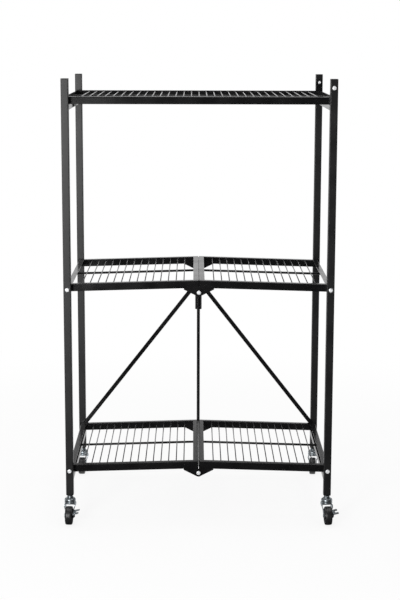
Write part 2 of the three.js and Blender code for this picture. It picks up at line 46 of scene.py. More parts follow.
samePlace = 0.001 * mm


# Small tools

def linearColour(code):
    values = [int(code[i:i + 2], 16) / 255 for i in (1, 3, 5)]
    return [v / 12.92 if v <= 0.04045 else ((v + 0.055) / 1.055) ** 2.4 for v in values] + [1.0]


# A noise's scale for features of the given size in mm.
def perMetre(size):
    return 1000 / size


def addNode(tree, kind, settings=None, inputs=None):
    node = tree.nodes.new(kind)
    for name, value in (settings or {}).items():
        setattr(node, name, value)
    for name, value in (inputs or {}).items():
        if isinstance(value, bpy.types.NodeSocket):
            tree.links.new(value, node.inputs[name])
        else:
            node.inputs[name].default_value = value
    return node


def pieceOf(name, mesh, *finishes):
    mesh.name = name
    for finish in finishes:
        mesh.materials.append(finish)
    piece = bpy.data.objects.new(name, mesh)
    bpy.context.scene.collection.objects.link(piece)
    return piece


# Turns what the modifiers make of a piece into its plain mesh.
def settled(piece):
    graph = bpy.context.evaluated_depsgraph_get()
    mesh = bpy.data.meshes.new_from_object(piece.evaluated_get(graph))
    piece.modifiers.clear()
    old, piece.data = piece.data, mesh
    bpy.data.meshes.remove(old)
    mesh.name = piece.name
    return piece


# Rounds the edges over the given angle and keeps the flat faces flat in their shading.
def softened(piece, width, angle=40, segments=2):
    piece.data.shade_smooth()
    bevel = piece.modifiers.new("edges", "BEVEL")
    bevel.width = width
    bevel.segments = segments
    bevel.limit_method = "ANGLE"
    bevel.angle_limit = math.radians(angle)
    weights = piece.modifiers.new("normals", "WEIGHTED_NORMAL")
    weights.keep_sharp = True
    return settled(piece)


def meshOf(points, faces):
    mesh = bpy.data.meshes.new("shape")
    mesh.from_pydata([tuple(point) for point in points], [], faces)
    outward(mesh)
    return mesh


def outward(mesh):
    shell = bmesh.new()
    shell.from_mesh(mesh)
    bmesh.ops.remove_doubles(shell, verts=shell.verts, dist=samePlace)
    bmesh.ops.recalc_face_normals(shell, faces=shell.faces)
    shell.to_mesh(mesh)
    shell.free()


def joinedMesh(meshes):
    shell = bmesh.new()
    for mesh in meshes:
        shell.from_mesh(mesh)
        bpy.data.meshes.remove(mesh)
    whole = bpy.data.meshes.new("shape")
    shell.to_mesh(whole)
    shell.free()
    return whole


def smoothShaded(mesh, angle=35):
    mesh.shade_smooth()
    mesh.set_sharp_from_angle(angle=math.radians(angle))
    return mesh


# Puts a profile's radius and height round an axis. A ring's profile is closed and has no end faces.
def latheMesh(profile, sides, axis="Z", at=(0, 0, 0), ring=False):
    points, rows = [], []
    for radius, along in profile:
        row = []
        for step in range(sides if radius > 0 else 1):
            turn = 2 * math.pi * step / sides
            across, up = radius * math.cos(turn), radius * math.sin(turn)
            place = {"X": (along, across, up), "Y": (up, along, across), "Z": (across, up, along)}[axis]
            row.append(len(points))
            points.append(Vector(place) + Vector(at))
        rows.append(row)
    faces = []
    pairs = list(zip(rows, rows[1:])) + ([(rows[-1], rows[0])] if ring else [])
    for low, high in pairs:
        for step in range(sides):
            after = (step + 1) % sides
            face = [low[step % len(low)], low[after % len(low)],
                    high[after % len(high)], high[step % len(high)]]
            face = list(dict.fromkeys(face))
            if len(face) > 2:
                faces.append(face)
    if not ring:
        for row in (rows[0], rows[-1]):
            if len(row) > 2:
                faces.append(row)
    return meshOf(points, faces)


# Skins a list of loops of equal length, with a flat face on each end.
def loftMesh(loops, closed=False):
    count = len(loops[0])
    points = [point for loop in loops for point in loop]
    faces = []
    rows = list(range(len(loops)))
    pairs = list(zip(rows, rows[1:])) + ([(rows[-1], rows[0])] if closed else [])
    for low, high in pairs:
        for step in range(count):
            after = (step + 1) % count
            faces.append([low * count + step, low * count + after,
                          high * count + after, high * count + step])
    if not closed:
        faces.append(list(range(count)))
        faces.append([(len(loops) - 1) * count + step for step in range(count)])
    return meshOf(points, faces)


# The three points that round the edge of a bar's end, from its face to its side.
def roundedEnd(radius, cut, face, inward):
    between = 0.3 * cut
    return [(radius - cut, face), (radius - between, face + inward * between), (radius, face + inward * cut)]


def roundedSquare(side, corner, steps=6):
    inner = side / 2 - corner
    points = []
    for quarter, (sx, sy) in enumerate(((1, 1), (-1, 1), (-1, -1), (1, -1))):
        for step in range(steps + 1):
            turn = math.pi / 2 * (quarter + step / steps)
            points.append((sx * inner + corner * math.cos(turn), sy * inner + corner * math.sin(turn)))
    return points


# A square tube with open ends from one place to another along an axis.
def tubeMesh(side, wall, corner, axis, low, high, at):
    loops = []
    for shrink, along in ((0, low), (0, high), (wall, high), (wall, low)):
        section = roundedSquare(side - 2 * shrink, corner - shrink)
        if axis == "Z":
            loops.append([Vector((a + at[0], b + at[1], along)) for a, b in section])
        else:
            loops.append([Vector((a + at[0], along, b + at[2])) for a, b in section])
    return loftMesh(loops, closed=True)


# How close points are merged, in mm, and how flat faces are joined, in degrees.
copyCare = {"merge": 0.002, "flat": 0.6}


# A CAD node's mesh, merged, freed of needless edges and with its corners rounded.
def edgedCopy(node, name, finish, width, angle=40):
    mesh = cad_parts[node].data.copy()
    mesh.materials.clear()
    shell = bmesh.new()
    shell.from_mesh(mesh)
    bmesh.ops.remove_doubles(shell, verts=shell.verts, dist=copyCare["merge"] * mm)
    bmesh.ops.dissolve_limit(shell, angle_limit=math.radians(copyCare["flat"]),
                             verts=shell.verts, edges=shell.edges)
    shell.to_mesh(mesh)
    shell.free()
    for attribute in ("custom_normal", "sharp_edge", "sharp_face"):
        if attribute in mesh.attributes:
            mesh.attributes.remove(mesh.attributes[attribute])
    piece = pieceOf(name, mesh, finish)
    softened(piece, width, angle)
    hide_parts(node)
    return piece


# Finishes

# Most of a noise's values lie in this range.
noiseRange = (0.3, 0.7)


def newFinish(name):
    finish = bpy.data.materials.new(name)
    finish.use_nodes = True
    tree = finish.node_tree
    shader = tree.nodes["Principled BSDF"]
    where = addNode(tree, "ShaderNodeTexCoord").outputs["Object"]
    return finish, tree, shader, where


def noiseAt(tree, where, size, detail=2.0, roughness=0.5):
    return addNode(tree, "ShaderNodeTexNoise", None, {
        "Vector": where, "Scale": perMetre(size), "Detail": detail, "Roughness": roughness,
    }).outputs["Fac"]


def spread(tree, value, fromLow, fromHigh, toLow, toHigh):
    return addNode(tree, "ShaderNodeMapRange", None, {
        "Value": value, "From Min": fromLow, "From Max": fromHigh, "To Min": toLow, "To Max": toHigh,
    }).outputs["Result"]


def tinted(tree, shader, value, look):
    low, high = look.get("tintRange", noiseRange)
    mix = addNode(tree, "ShaderNodeMix", {"data_type": "RGBA"}, {
        0: spread(tree, value, low, high, 0, 1),
        6: linearColour(look["dark"]), 7: linearColour(look["light"]),
    })
    tree.links.new(mix.outputs[2], shader.inputs["Base Color"])


def roughened(tree, shader, value, look):
    rough = spread(tree, value, *noiseRange, look["smooth"], look["rough"])
    tree.links.new(rough, shader.inputs["Roughness"])


def bumped(tree, shader, height, look):
    bump = addNode(tree, "ShaderNodeBump", None, {
        "Height": height, "Strength": 1.0, "Distance": look["depth"] * mm,
    })
    tree.links.new(bump.outputs["Normal"], shader.inputs["Normal"])


# Powder coat baked on steel: an even black with the slight orange peel that softens its highlights.
def powderCoat(name, look):
    finish, tree, shader, where = newFinish(name)
    cloud = noiseAt(tree, where, look["cloud"], detail=3)
    peel = noiseAt(tree, where, look["peel"], detail=2)
    tinted(tree, shader, cloud, look)
    roughened(tree, shader, cloud, look)
    bumped(tree, shader, peel, look)
    return finish


postCoat = powderCoat("powder coat on post", {
    "dark": "#0e0e0f", "light": "#151516", "smooth": 0.36, "rough": 0.44,
    "cloud": 90, "peel": 1.6, "depth": 0.03,
})
railCoat = powderCoat("powder coat on rail", {
    "dark": "#0c0c0d", "light": "#121213", "smooth": 0.17, "rough": 0.23,
    "cloud": 70, "peel": 1.4, "depth": 0.02,
})
rodCoat = powderCoat("powder coat on rod", {
    "dark": "#070708", "light": "#0c0c0d", "smooth": 0.42, "rough": 0.5,
    "cloud": 60, "peel": 1.4, "depth": 0.02,
})
wireCoat = powderCoat("powder coat on wire", {
    "dark": "#1e1e20", "light": "#262629", "smooth": 0.13, "rough": 0.19,
    "cloud": 40, "peel": 0.9, "depth": 0.012,
})


# Bright zinc on pressed steel: a cool metal with faint cloudy passivation and fine grain. The rivets' copy is
# near-white with little metal, a painted sheen.
def zincPlate(name, look):
    finish, tree, shader, where = newFinish(name)
    cloud = noiseAt(tree, where, look["cloud"], detail=4, roughness=0.6)
    grain = noiseAt(tree, where, look["grain"], detail=3)
    tinted(tree, shader, cloud, look)
    shader.inputs["Metallic"].default_value = look["metal"]
    roughened(tree, shader, cloud, look)
    bumped(tree, shader, grain, look)
    return finish


casterZinc = zincPlate("zinc plate on caster", {
    "dark": "#929a9f", "light": "#b9c0c4", "metal": 1.0, "smooth": 0.36, "rough": 0.46,
    "cloud": 9, "grain": 0.6, "depth": 0.008, "tintRange": (0.35, 0.65),
})
# The rivets' near-white colour with little metal is painted sheen: it paints in the bright reflection their
# zinc heads show all over.
rivetZincPaintedSheen = zincPlate("zinc plate on rivet", {
    "dark": "#dfe1e3", "light": "#f2f3f4", "metal": 0.35, "smooth": 0.42, "rough": 0.55,
    "cloud": 5, "grain": 0.5, "depth": 0.006, "tintRange": (0.35, 0.65),
})


# Moulded plastic or rubber: dull, with a fine mould grain and no sheen of its own.
def moulded(name, look):
    finish, tree, shader, where = newFinish(name)
    cloud = noiseAt(tree, where, look["cloud"], detail=3)
    grain = noiseAt(tree, where, look["grain"], detail=2)
    tinted(tree, shader, cloud, look)
    roughened(tree, shader, grain, look)
    bumped(tree, shader, grain, look)
    return finish


nylonPlug = moulded("nylon plug", {
    "dark": "#131314", "light": "#1a1a1b", "smooth": 0.48, "rough": 0.58,
    "cloud": 12, "grain": 0.5, "depth": 0.01,
})
wheelTread = moulded("rubber tread", {
    "dark": "#151516", "light": "#222223", "smooth": 0.34, "rough": 0.44,
    "cloud": 14, "grain": 0.7, "depth": 0.02,
})
wheelCore = moulded("polypropylene wheel core", {
    "dark": "#1a1a1c", "light": "#222224", "smooth": 0.38, "rough": 0.48,
    "cloud": 10, "grain": 0.5, "depth": 0.01,
})
print("finishes made")


# Geometry Nodes for what repeats

def newTree(name, inputs):
    tree = bpy.data.node_groups.new(name, "GeometryNodeTree")
    for label, kind in inputs:
        tree.interface.new_socket(name=label, in_out="INPUT", socket_type=f"NodeSocket{kind}")
    tree.interface.new_socket(name="Geometry", in_out="OUTPUT", socket_type="NodeSocketGeometry")
    return tree, addNode(tree, "NodeGroupInput").outputs


def closeTree(tree, instances, finish):
    solid = addNode(tree, "GeometryNodeRealizeInstances", None, {0: instances})
    painted = addNode(tree, "GeometryNodeSetMaterial", None, {0: solid.outputs[0], "Material": finish})
    addNode(tree, "NodeGroupOutput", None, {0: painted.outputs[0]})


def grown(name, tree, values):
    piece = bpy.data.objects.new(name, bpy.data.meshes.new(name))
    bpy.context.scene.collection.objects.link(piece)
    nodes = piece.modifiers.new("nodes", "NODES")
    nodes.node_group = tree
    for item in tree.interface.items_tree:
        if item.in_out == "INPUT":
            nodes[item.identifier] = values[item.name]
    return settled(piece)


# Copies of a blank in a straight row, each one a little astray as welded pieces are.
def rowOfCopies():
    tree, given = newTree("row of copies", [
        ("Blank", "Object"), ("Count", "Int"), ("First", "Vector"), ("Step", "Vector"),
        ("Stray", "Vector"), ("Seed", "Int"), ("Finish", "Material"),
    ])
    line = addNode(tree, "GeometryNodeMeshLine", {"mode": "OFFSET"}, {
        "Count": given["Count"], "Start Location": given["First"], "Offset": given["Step"],
    })
    chance = addNode(tree, "FunctionNodeRandomValue", {"data_type": "FLOAT_VECTOR"}, {
        0: (-0.5, -0.5, -0.5), 1: (0.5, 0.5, 0.5), "Seed": given["Seed"],
    })
    shift = addNode(tree, "ShaderNodeVectorMath", {"operation": "MULTIPLY"}, {
        0: chance.outputs[0], 1: given["Stray"],
    })
    places = addNode(tree, "GeometryNodeSetPosition", None, {
        "Geometry": line.outputs[0], "Offset": shift.outputs[0],
    })
    blank = addNode(tree, "GeometryNodeObjectInfo", None, {"Object": given["Blank"], "As Instance": True})
    copies = addNode(tree, "GeometryNodeInstanceOnPoints", None, {
        "Points": places.outputs[0], "Instance": blank.outputs["Geometry"],
    })
    closeTree(tree, copies.outputs[0], given["Finish"])
    return tree


# Copies of a blank at the points of a mesh, each with its y axis along the point's facing.
def copiesAtPlaces():
    tree, given = newTree("copies at places", [
        ("Blank", "Object"), ("Places", "Object"), ("Finish", "Material"),
    ])
    spots = addNode(tree, "GeometryNodeObjectInfo", None, {"Object": given["Places"]})
    blank = addNode(tree, "GeometryNodeObjectInfo", None, {"Object": given["Blank"], "As Instance": True})
    facing = addNode(tree, "GeometryNodeInputNamedAttribute", {"data_type": "FLOAT_VECTOR"}, {
        "Name": "facing",
    })
    turn = addNode(tree, "FunctionNodeAlignRotationToVector", {"axis": "Y"}, {"Vector": facing.outputs[0]})
    copies = addNode(tree, "GeometryNodeInstanceOnPoints", None, {
        "Points": spots.outputs["Geometry"], "Instance": blank.outputs["Geometry"],
        "Rotation": turn.outputs[0],
    })
    closeTree(tree, copies.outputs[0], given["Finish"])
    return tree


rowTree = rowOfCopies()
placesTree = copiesAtPlaces()


def copiesAt(name, blank, places, finish):
    spots = bpy.data.meshes.new("spots")
    spots.from_pydata([tuple(point) for point, facing in places], [], [])
    facings = spots.attributes.new("facing", "FLOAT_VECTOR", "POINT")
    facings.data.foreach_set("vector", [value for point, facing in places for value in facing])
    holder = pieceOf("spots", spots)
    piece = grown(name, placesTree, {"Blank": blank, "Places": holder, "Finish": finish})
    bpy.data.objects.remove(holder)
    return piece


def joinedPiece(name, pieces):
    shell = bmesh.new()
    for piece in pieces:
        shell.from_mesh(piece.data)
    mesh = bpy.data.meshes.new(name)
    shell.to_mesh(mesh)
    shell.free()
    for finish in pieces[0].data.materials:
        mesh.materials.append(finish)
    for piece in pieces:
        bpy.data.objects.remove(piece)
    return pieceOf(name, mesh)


# Where things are

def middleOf(node):
    low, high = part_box(node)
    return (low + high) / 2


corners = {}
for side in ("left", "right"):
    for depth in ("front", "back"):
        corners[side, depth] = middleOf(f"{side}_{depth}_post")
rackMiddle = (corners["left", "front"] + corners["right", "back"]) / 2
postX = corners["right", "front"].x - rackMiddle.x
postY = corners["right", "back"].y - rackMiddle.y
bodyOf = {"left": "left_frame", "right": "right_frame"}


# Posts, caps and sockets

postSizes = {"side": 25.4, "wall": 1.5, "corner": 2.5, "foot": 99.5, "top": 1521.7, "edge": 0.3}
capSizes = {
    "plate": 2, "edge": 0.5, "crowning": 0.25, "flatInset": 10,
    "plug": 12, "plugSide": 21.8, "plugCorner": 1.5, "tip": 1, "tipCorner": 1.2,
}
socketSizes = {
    "low": 17, "lowCorner": 2.2, "tip": 1, "foot": 95.1, "top": 138, "plugSide": 21.8, "bore": 5.3,
    "lip": 99.2, "lipDepth": 0.9, "lipInset": 0.8, "lipEdge": 0.5,
}


def addPost(side, depth):
    at = corners[side, depth]
    mesh = tubeMesh(postSizes["side"] * mm, postSizes["wall"] * mm, postSizes["corner"] * mm, "Z",
                    postSizes["foot"] * mm, postSizes["top"] * mm, at)
    piece = softened(pieceOf(f"{side}_{depth}_post_tube", mesh, postCoat), postSizes["edge"] * mm, angle=60)
    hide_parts(f"{side}_{depth}_post")
    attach(piece, bodyOf[side])


def squareLoop(at, side, corner, height):
    return [Vector((at.x + a, at.y + b, height)) for a, b in roundedSquare(side * mm, corner * mm)]


def addCap(side, depth):
    at = corners[side, depth]
    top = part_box(f"{side}_{depth}_post_cap")[1].z
    c = capSizes
    full, corner, edge = postSizes["side"], postSizes["corner"], c["edge"]
    foot = top - c["plate"] * mm
    loops = [
        squareLoop(at, c["plugSide"] - c["tip"], c["tipCorner"], foot - c["plug"] * mm),
        squareLoop(at, c["plugSide"], c["plugCorner"], foot - (c["plug"] - c["tip"]) * mm),
        squareLoop(at, c["plugSide"], c["plugCorner"], foot),
        squareLoop(at, full - edge, corner, foot),
        squareLoop(at, full, corner, foot + edge / 2 * mm),
        squareLoop(at, full, corner, top - (edge + c["crowning"]) * mm),
        squareLoop(at, full - 0.6 * edge, corner, top - (0.4 * edge + c["crowning"]) * mm),
        squareLoop(at, full - 2 * edge, corner, top - c["crowning"] * mm),
        squareLoop(at, full - c["flatInset"], corner, top),
    ]
    piece = pieceOf(f"{side}_{depth}_cap", smoothShaded(loftMesh(loops)), nylonPlug)
    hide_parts(f"{side}_{depth}_post_cap")
    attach(piece, bodyOf[side])


# The socket's taper below the post, a thin lip under the tube and the plug inside it, bored for the stem.
def addSocket(side, depth):
    at = corners[side, depth]
    s = socketSizes
    lip, foot = s["lip"] * mm, s["foot"] * mm
    full, corner, plugCorner = postSizes["side"], postSizes["corner"], capSizes["plugCorner"]
    outer = [
        squareLoop(at, s["low"] - s["tip"], s["lowCorner"], foot),
        squareLoop(at, s["low"], s["lowCorner"], foot + s["tip"] / 2 * mm),
        squareLoop(at, full - s["lipInset"], corner, lip - s["lipDepth"] * mm),
        squareLoop(at, full, corner, lip - (s["lipDepth"] - s["lipEdge"]) * mm),
        squareLoop(at, full, corner, lip),
        squareLoop(at, s["plugSide"], plugCorner, lip),
        squareLoop(at, s["plugSide"], plugCorner, s["top"] * mm),
    ]
    bore = []
    for height in (s["top"] * mm, foot):
        bore.append([
            Vector((at.x + s["bore"] * mm * math.cos(turn), at.y + s["bore"] * mm * math.sin(turn), height))
            for turn in (math.atan2(point.y - at.y, point.x - at.x) for point in outer[0])
        ])
    piece = pieceOf(f"{side}_{depth}_socket", smoothShaded(loftMesh(outer + bore, closed=True)), nylonPlug)
    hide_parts(f"{side}_{depth}_caster_socket")
    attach(piece, bodyOf[side])


for side, depth in corners:
    addPost(side, depth)
    addCap(side, depth)
    addSocket(side, depth)
print("posts made")


# Cross bars and latch

barSizes = {"side": 19.05, "wall": 1.5, "corner": 2, "edge": 0.25, "latchEdge": 0.5}

for side in ("left", "right"):
    for level in ("top", "bottom"):
        node = f"{side}_{level}_crossbar"
        low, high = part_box(node)
        mesh = tubeMesh(barSizes["side"] * mm, barSizes["wall"] * mm, barSizes["corner"] * mm, "Y",
                        low.y, high.y, middleOf(node))
        bar = softened(pieceOf(f"{side}_{level}_bar", mesh, railCoat), barSizes["edge"] * mm, angle=60)
        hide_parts(node)
        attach(bar, bodyOf[side])

latch = edgedCopy("top_shelf_latch_plate", "latch_plate", nylonPlug, barSizes["latchEdge"] * mm)
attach(latch, "left_frame")
print("cross bars made")


# Long rails

longRail = {"edge": 0.35, "sharpFrom": 38}

for depth in ("front", "back"):
    rail = edgedCopy(f"top_shelf_{depth}_rail", f"top_{depth}_rail", railCoat,
                     longRail["edge"] * mm, longRail["sharpFrom"])
    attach(rail, "top_shelf")
    for level in ("middle", "bottom"):
        for side in ("left", "right"):
            name = f"{level}_{side}_{depth}_rail"
            rail = edgedCopy(name, f"{name}_shape", railCoat, longRail["edge"] * mm, longRail["sharpFrom"])
            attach(rail, f"{level}_{side}_shelf")
print("rails made")


# Decks: wires, the rod below them and the end rails

deckSizes = {
    "wireRadius": 1.9, "wireSides": 16, "wireChamfer": 0.5, "pitch": 26.67, "gap": 0.3,
    "rodRadius": 4, "rodSides": 24, "rodChamfer": 0.5, "rodPlace": 0, "sink": 0.6,
    "endBead": (2.5, 1.3, 2.2), "rodBead": (2.3, 3.2, 0.9), "beadInset": 0.4,
    "wireStray": (0.25, 0.4, 0), "beadStray": (0.4, 0.2, 0.2), "seed": 11,
}
railSizes = {"height": 25.4, "width": 19, "sheet": 2, "bend": 2.3, "bendSteps": 6, "edge": 0.2}
shelfSizes = {
    "camber": 1.65, "pivotRise": 9.5, "pinDrop": 16.5, "slit": 0.2, "endReach": 3, "firstWire": 50,
    "frontFace": 278.2, "halfBackFace": 274.8, "topBackFace": 278.2,
    "halfWires": 14, "topWires": 31,
    "middle": 818.2, "bottom": 184, "topFoot": 1439.1,
}


# How far the wires and the end rails stay behind the outer faces of the long rails.
wireInset = railSizes["width"] + deckSizes["gap"]


# The angle section of a rail: its leg's outer face at 0 across, its lower edge at 0 up.
def angleSection():
    s = railSizes
    bend = s["bend"]
    inner = bend - s["sheet"]
    points = [(0, 0)]
    for step in range(s["bendSteps"] + 1):
        turn = math.pi / 2 * step / s["bendSteps"]
        points.append((bend * (1 - math.cos(turn)), s["height"] - bend * (1 - math.sin(turn))))
    points += [(s["width"], s["height"]), (s["width"], s["height"] - s["sheet"])]
    for step in range(s["bendSteps"] + 1):
        turn = math.pi / 2 * (1 - step / s["bendSteps"])
        points.append((bend - inner * math.cos(turn), s["height"] - bend + inner * math.sin(turn)))
    points.append((s["sheet"], 0))
    return points


# A flat bar on edge, such as the top shelf ends in.
def barSection():
    s = railSizes
    return [(0, 0), (0, s["height"]), (s["sheet"], s["height"]), (s["sheet"], 0)]


# An end rail from one y to another, its outer face at the given x. A lean tilts it outwards, by that
# much for each mm above the centre pin.
def endRailMesh(section, outer, inward, lean, front, back):
    loops = []
    for y in (front, back):
        loop = []
        for across, up in section:
            x = outer + inward * across - inward * lean * (up + shelfSizes["pinDrop"])
            loop.append(Vector((x * mm, y * mm, up * mm)))
        loops.append(loop)
    return loftMesh(loops)


def wireBlank(front, back):
    d = deckSizes
    radius, cut = d["wireRadius"] * mm, d["wireChamfer"] * mm
    low, high = front * mm, back * mm
    profile = [(0, low), *roundedEnd(radius, cut, low, 1),
               *reversed(roundedEnd(radius, cut, high, -1)), (0, high)]
    return pieceOf("wire_blank", smoothShaded(latheMesh(profile, d["wireSides"], "Y"), angle=50))


# A flattened bead of coated weld metal.
def beadBlank(wide, long, high, steps=8, sides=12):
    turns = [math.pi * (step / steps - 0.5) for step in range(1, steps)]
    profile = [(0, -1)] + [(math.cos(turn), math.sin(turn)) for turn in turns] + [(0, 1)]
    mesh = latheMesh(profile, sides, "Z")
    mesh.transform(Matrix.Diagonal((wide * mm, long * mm, high * mm, 1)))
    return pieceOf("bead_blank", smoothShaded(mesh, angle=60))


# Copies of a blank at a deck's places. The blank isn't kept.
def deckRow(name, blank, places, y, z, stray, seed):
    step = (places[-1] - places[0]) / (len(places) - 1)
    row = grown(name, rowTree, {
        "Blank": blank, "Count": len(places), "First": (places[0] * mm, y * mm, z * mm),
        "Step": (step * mm, 0.0, 0.0), "Stray": tuple(share * mm for share in stray),
        "Seed": seed, "Finish": wireCoat,
    })
    bpy.data.objects.remove(blank)
    return row


def middleRodMesh(low, high, height):
    d, sheet = deckSizes, railSizes["sheet"]
    radius, cut = d["rodRadius"] * mm, d["rodChamfer"] * mm
    near, far = (low + sheet - d["sink"]) * mm, (high - sheet + d["sink"]) * mm
    profile = [(0, near), (radius - cut, near), (radius, near + cut),
               (radius, far - cut), (radius - cut, far), (0, far)]
    return latheMesh(profile, d["rodSides"], "X", (0, d["rodPlace"] * mm, height * mm))


# A deck in its own frame: x runs along the rails from the middle of the top shelf or from a half's pivot,
# z counts from the rails' foot. Each end is a place with the lean of its end rail.
def addDeck(name, node, body, ends, section, places, faces, matrix):
    d, s = deckSizes, railSizes
    front, back = wireInset - faces[0], faces[1] - wireInset
    wireHeight = s["height"] - s["sheet"] - d["gap"] - d["wireRadius"]
    rodHeight = wireHeight - d["wireRadius"] - d["rodRadius"] + d["sink"]
    wires = deckRow(f"{name}_wires", wireBlank(front, back), places, 0, wireHeight,
                    d["wireStray"], d["seed"])
    wires.data.transform(matrix)
    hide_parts(node)

    spots = [(front + d["beadInset"], wireHeight, d["endBead"]),
             (back - d["beadInset"], wireHeight, d["endBead"]),
             (d["rodPlace"], rodHeight + d["rodRadius"], d["rodBead"])]
    rows = [deckRow(f"{name}_beads_{index}", beadBlank(*size), places, y, z,
                    d["beadStray"], d["seed"] + index + 1)
            for index, (y, z, size) in enumerate(spots)]
    beads = joinedPiece(f"{name}_weld_beads", rows)
    beads.data.transform(matrix)

    (low, lowLean), (high, highLean) = sorted(ends)
    rodMesh = smoothShaded(middleRodMesh(low, high, rodHeight), angle=50)
    rod = pieceOf(f"{name}_middle_rod", rodMesh, rodCoat)
    rod.data.transform(matrix)
    rails = pieceOf(f"{name}_end_rails", joinedMesh([
        endRailMesh(section, low, 1, lowLean, front, back),
        endRailMesh(section, high, -1, highLean, front, back),
    ]), railCoat)
    rails.data.transform(matrix)
    softened(rails, s["edge"] * mm)
    for piece in (wires, beads, rod, rails):
        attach(piece, body)


centre = Matrix.Translation((rackMiddle.x, rackMiddle.y, 0))
topSpan = postX / mm + shelfSizes["endReach"]
topPlaces = [(i - (shelfSizes["topWires"] - 1) / 2) * deckSizes["pitch"]
             for i in range(shelfSizes["topWires"])]
addDeck("top", "top_shelf_deck", "top_shelf", ((-topSpan, 0), (topSpan, 0)), barSection(), topPlaces,
        (shelfSizes["frontFace"], shelfSizes["topBackFace"]),
        centre @ Matrix.Translation((0, 0, shelfSizes["topFoot"] * mm)))

# A half shelf rises to the fold by the camber. Its rail at the fold leans by as much, so it stands upright
# and meets the other half's.
camber = math.radians(shelfSizes["camber"])
pinBelow = shelfSizes["pivotRise"] + shelfSizes["pinDrop"]
halfReach = (postX / mm - pinBelow * math.sin(camber)) / math.cos(camber)
for level in ("middle", "bottom"):
    for side, sign in (("left", -1), ("right", 1)):
        places = [-sign * (halfReach - shelfSizes["firstWire"] - i * deckSizes["pitch"])
                  for i in range(shelfSizes["halfWires"])]
        ends = ((sign * shelfSizes["endReach"], 0),
                (-sign * (halfReach - shelfSizes["slit"]), math.tan(camber)))
        matrix = (centre @ Matrix.Translation((sign * postX, 0, shelfSizes[level] * mm))
                  @ Matrix.Rotation(sign * camber, 4, "Y")
                  @ Matrix.Translation((0, 0, -shelfSizes["pivotRise"] * mm)))
        addDeck(f"{level}_{side}", f"{level}_{side}_deck", f"{level}_{side}_shelf",
                ends, angleSection(), places,
                (shelfSizes["frontFace"], shelfSizes["halfBackFace"]), matrix)
print("decks made")


# Rivets and centre pins

rivetSizes = {
    "head": 7, "height": 2.4, "brim": 0.25, "brimEdge": 0.2, "doming": 0.75, "domeSteps": 9,
    "dimple": 1.6, "dimpleFloor": 0.88, "dimpleRim": 2.16, "dimpleDepth": 0.7, "dimpleEdge": 0.15,
    "shank": 3, "tail": 5, "tailHeight": 2, "tailSide": 1.2, "tailSteps": 5, "sides": 32,
}


# A rivet along +y whose head sits at y = 0 and whose tail's face is at the given length.
def rivetBlank(length):
    r = rivetSizes
    top, rim, tailEnd = -r["height"], r["dimpleRim"], length + r["tailHeight"]
    profile = [(0, top + r["dimpleDepth"]), (r["dimpleFloor"], top + r["dimpleDepth"]),
               (r["dimple"], top + r["dimpleEdge"]), (rim, top)]
    for step in range(1, r["domeSteps"]):
        turn = math.pi / 2 * step / r["domeSteps"]
        profile.append((rim + (r["head"] - rim) * math.sin(turn), top * math.cos(turn) ** r["doming"]))
    profile += [(r["head"], -r["brim"]), (r["head"] - r["brimEdge"], 0), (r["shank"], 0),
                (r["shank"], length), (r["tail"], length), (r["tail"], length + r["tailSide"])]
    for step in range(1, r["tailSteps"]):
        turn = math.pi / 2 * step / r["tailSteps"]
        rounding = (r["tailHeight"] - r["tailSide"]) * (1 - math.sin(turn))
        profile.append((r["tail"] * math.cos(turn), tailEnd - rounding))
    profile.append((0, tailEnd))
    mesh = latheMesh([(a * mm, b * mm) for a, b in profile], r["sides"], "Y")
    return pieceOf("rivet_blank", smoothShaded(mesh, angle=40))


# Rivets of one body, each given by the CAD node that it stands for. Those of the back posts have their
# heads at the back, all others at the front.
def addRivets(name, nodes, body):
    groups = {}
    headHeight, tailHeight = rivetSizes["height"] * mm, rivetSizes["tailHeight"] * mm
    for node in nodes:
        low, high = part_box(node)
        back = "_back_" in node and "centre" not in node
        head = high.y - headHeight if back else low.y + headHeight
        tail = low.y + tailHeight if back else high.y - tailHeight
        spot = Vector(((low.x + high.x) / 2, head, (low.z + high.z) / 2))
        length = round(abs(tail - head) / mm, 2)
        groups.setdefault(length, []).append((spot, (0, -1 if back else 1, 0)))
    parts = []
    for index, (length, places) in enumerate(sorted(groups.items())):
        blank = rivetBlank(length)
        parts.append(copiesAt(f"{name}_{index}", blank, places, rivetZincPaintedSheen))
        bpy.data.objects.remove(blank)
    piece = joinedPiece(name, parts)
    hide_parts(*nodes)
    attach(piece, body)


for side in ("left", "right"):
    nodes = [f"{side}_{depth}_{level}_pivot" for depth in ("front", "back") for level in ("middle", "bottom")]
    if side == "right":
        nodes += ["top_shelf_front_pivot", "top_shelf_back_pivot"]
    addRivets(f"{side}_frame_rivets", nodes, bodyOf[side])
for level in ("middle", "bottom"):
    nodes = [f"{level}_front_centre_pin", f"{level}_back_centre_pin"]
    addRivets(f"{level}_centre_rivets", nodes, f"{level}_left_shelf")
print("rivets made")


# Link rod, sleeve and braces

linkSizes = {
    "rod": 6, "rodSides": 32, "rodTip": 2, "pinHole": 3.3, "pinHoleSides": 32,
    "sleeve": 12.5, "bore": 6.3, "sleeveSides": 40, "sleeveEdge": 0.8, "edge": 0.3, "braceEdge": 0.5,
    "earX": 12, "earRadius": 9, "earSheet": 2.5, "earFront": 13.2, "earDrop": 18.4, "earSteps": 12,
}


